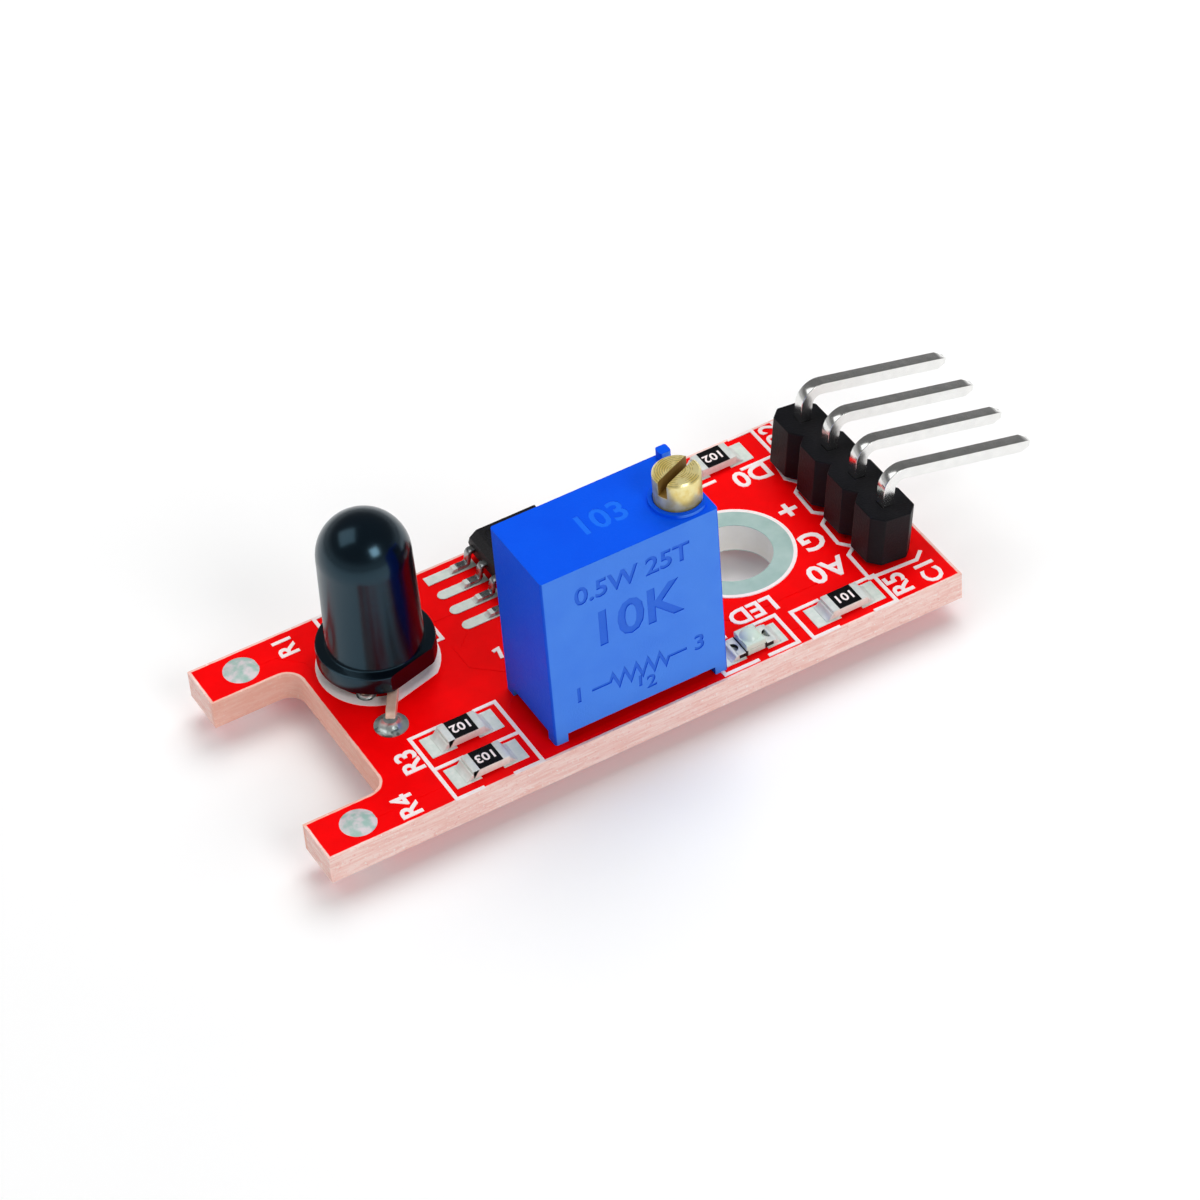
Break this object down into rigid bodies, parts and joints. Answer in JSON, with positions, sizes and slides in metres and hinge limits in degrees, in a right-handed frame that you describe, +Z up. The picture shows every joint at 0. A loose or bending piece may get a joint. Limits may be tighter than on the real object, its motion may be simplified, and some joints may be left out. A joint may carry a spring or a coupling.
{
  "type": "flame sensor module",
  "caption": "Small red circuit board with a black domed infrared sensor at its notched end, a blue screw-adjusted trimmer, a comparator chip, lamps and a bent pin header.",
  "frame": {"origin": "axis of the mounting hole, on the underside of the board", "axes": "+X along the board from the sensor's end to the header pins, +Y to the long edge with the comparator, +Z up from the board"},
  "size_m": [0.0414, 0.015, 0.015],
  "materials": {
    "solder_mask": "satin",
    "tinned_pads": "satin",
    "solder": "polished",
    "black_epoxy": "gloss",
    "sensor_wire": "satin",
    "tinned_pins": "satin",
    "blue_housing": "satin",
    "brass_screw": "satin",
    "rubber_seal": "matte",
    "spring_metal": "satin",
    "white_nylon": "satin",
    "ceramic": "matte",
    "resistive_ink": "matte",
    "potting_epoxy": "satin",
    "tinned_leads": "satin",
    "package_black": "matte",
    "chip_terminals": "satin",
    "black_glaze": "gloss",
    "lamp_base": "satin",
    "lamp_lens": "clear",
    "header_black": "satin"
  },
  "bodies": {
    "module": {"board": "solder_mask", "chip_solder": "solder", "comparator_body": "package_black", "comparator_lead_1": "tinned_leads", "comparator_lead_2": "tinned_leads", "comparator_lead_3": "tinned_leads", "comparator_lead_4": "tinned_leads", "comparator_lead_5": "tinned_leads", "comparator_lead_6": "tinned_leads", "comparator_lead_7": "tinned_leads", "comparator_lead_8": "tinned_leads", "header_body": "header_black", "header_pin_1": "tinned_pins", "header_pin_2": "tinned_pins", "header_pin_3": "tinned_pins", "header_pin_4": "tinned_pins", "header_solder": "solder", "mounting_ring": "tinned_pads", "output_indicator_base": "lamp_base", "output_indicator_lens": "lamp_lens", "output_indicator_terminals": "chip_terminals", "power_indicator_base": "lamp_base", "power_indicator_lens": "lamp_lens", "power_indicator_terminals": "chip_terminals", "prong_solder": "solder", "resistor_1_body": "ceramic", "resistor_1_caps": "chip_terminals", "resistor_1_glaze": "black_glaze", "resistor_2_body": "ceramic", "resistor_2_caps": "chip_terminals", "resistor_2_glaze": "black_glaze", "resistor_3_body": "ceramic", "resistor_3_caps": "chip_terminals", "resistor_3_glaze": "black_glaze", "resistor_4_body": "ceramic", "resistor_4_caps": "chip_terminals", "resistor_4_glaze": "black_glaze", "resistor_5_body": "ceramic", "resistor_5_caps": "chip_terminals", "resistor_5_glaze": "black_glaze", "sensor_lead_far": "sensor_wire", "sensor_lead_near": "sensor_wire", "sensor_lens": "black_epoxy", "sensor_solder": "solder", "top_pads": "tinned_pads", "trimmer_element": "ceramic", "trimmer_housing": "blue_housing", "trimmer_pin_1": "tinned_pins", "trimmer_pin_2": "tinned_pins", "trimmer_pin_3": "tinned_pins", "trimmer_potting": "potting_epoxy", "trimmer_solder": "solder", "trimmer_track": "resistive_ink"},
    "screw": {"trimmer_screw": "brass_screw", "trimmer_o_ring": "rubber_seal", "trimmer_clip": "spring_metal"},
    "rotor": {"trimmer_worm_wheel": "white_nylon", "trimmer_wiper": "spring_metal"}
  },
  "joints": [
    {"name": "trimmer_screw_turn", "type": "hinge", "parent": "module", "child": "screw", "pos_m": [-0.0056, -0.00527, 0.0117], "axis": [0, 0, 1], "range_deg": [-4500, 4500]},
    {"name": "trimmer_wheel_turn", "type": "hinge", "parent": "module", "child": "rotor", "pos_m": [-0.00958, -0.00527, 0.00675], "axis": [0, 1, 0], "range_deg": [-150.1, 150.1]}
  ],
  "couplings": [
    {"joint": "trimmer_wheel_turn", "follows": "trimmer_screw_turn", "ratio": 0.033333}
  ]
}
